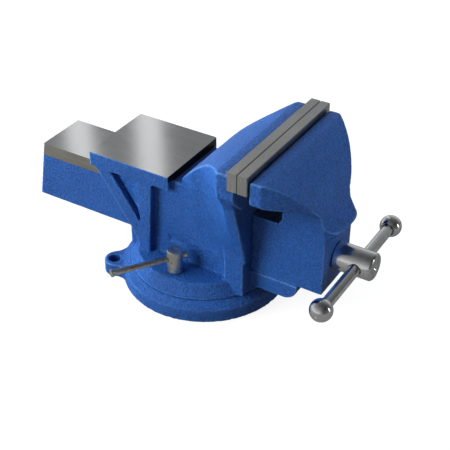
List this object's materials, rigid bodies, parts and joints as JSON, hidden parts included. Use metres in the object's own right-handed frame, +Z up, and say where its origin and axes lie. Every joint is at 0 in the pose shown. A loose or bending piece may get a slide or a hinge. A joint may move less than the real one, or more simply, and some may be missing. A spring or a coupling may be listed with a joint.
{
  "type": "bench vise",
  "caption": "Bench vise with a swivel base, a flat anvil, wide steel jaw plates, a hollow slide bar and a tommy-bar spindle",
  "frame": {"origin": "on the swivel axis, at the underside of the base", "axes": "+Z up along the swivel axis; +X along the spindle, from the anvil to the handle; +Y to the far side"},
  "size_m": [0.24, 0.142, 0.118],
  "materials": {
    "blue_paint": "glossy hammered paint on rough castings",
    "ground_steel": "ground",
    "bright_steel": "polished",
    "zinc_steel": "zinc plated",
    "dark_steel": "black oxide",
    "bare_cast_iron": "as cast"
  },
  "bodies": {
    "swivel_base": {"swivel_base": "blue_paint"},
    "vise_body": {"vise_body": "blue_paint", "fixed_jaw_plate": "ground_steel", "fixed_jaw_screw_near": "dark_steel", "fixed_jaw_screw_far": "dark_steel", "lead_nut": "bare_cast_iron", "nut_bolt": "dark_steel", "nut_bolt_washer": "bright_steel", "clamp_nut_near": "dark_steel", "clamp_nut_far": "dark_steel"},
    "movable_jaw": {"movable_jaw": "blue_paint", "movable_jaw_plate": "ground_steel", "movable_jaw_screw_near": "dark_steel", "movable_jaw_screw_far": "dark_steel", "thrust_washer": "dark_steel"},
    "spindle": {"lead_screw": "bright_steel", "retaining_collar": "dark_steel", "collar_pin": "bright_steel"},
    "handle": {"handle_bar": "bright_steel", "handle_ball_near": "bright_steel", "handle_ball_far": "bright_steel"},
    "lock_bolt_near": {"lock_bolt_near": "zinc_steel"},
    "lock_bolt_far": {"lock_bolt_far": "zinc_steel"},
    "lock_bar_near": {"lock_bar_near": "zinc_steel"},
    "lock_bar_far": {"lock_bar_far": "zinc_steel"}
  },
  "joints": [
    {"name": "body_swivel", "type": "hinge", "parent": "swivel_base", "child": "vise_body", "pos_m": [0, 0, 0.013], "axis": [0, 0, 1], "continuous": true},
    {"name": "jaw_slide", "type": "slide", "parent": "vise_body", "child": "movable_jaw", "axis": [1, 0, 0], "range_m": [0, 0.094]},
    {"name": "spindle_turn", "type": "hinge", "parent": "movable_jaw", "child": "spindle", "pos_m": [0.0935, 0, 0.0487], "axis": [1, 0, 0], "range_deg": [0, 8461]},
    {"name": "handle_slide", "type": "slide", "parent": "spindle", "child": "handle", "axis": [0, 1, 0], "range_m": [-0.027, 0.034]},
    {"name": "lock_near_turn", "type": "hinge", "parent": "vise_body", "child": "lock_bolt_near", "pos_m": [0, -0.0356, 0.0328], "axis": [0, 0, 1], "range_deg": [-50, 120]},
    {"name": "lock_far_turn", "type": "hinge", "parent": "vise_body", "child": "lock_bolt_far", "pos_m": [0, 0.0356, 0.0328], "axis": [0, 0, 1], "range_deg": [-50, 120]},
    {"name": "lock_near_slide", "type": "slide", "parent": "lock_bolt_near", "child": "lock_bar_near", "axis": [-0.5793, -0.8151, 0], "range_m": [-0.004, 0.0006]},
    {"name": "lock_far_slide", "type": "slide", "parent": "lock_bolt_far", "child": "lock_bar_far", "axis": [0.5793, 0.8151, 0], "range_m": [-0.004, 0.0006]}
  ],
  "couplings": [
    {"joint": "spindle_turn", "follows": "jaw_slide", "rad_per_m": 1570.8}
  ]
}
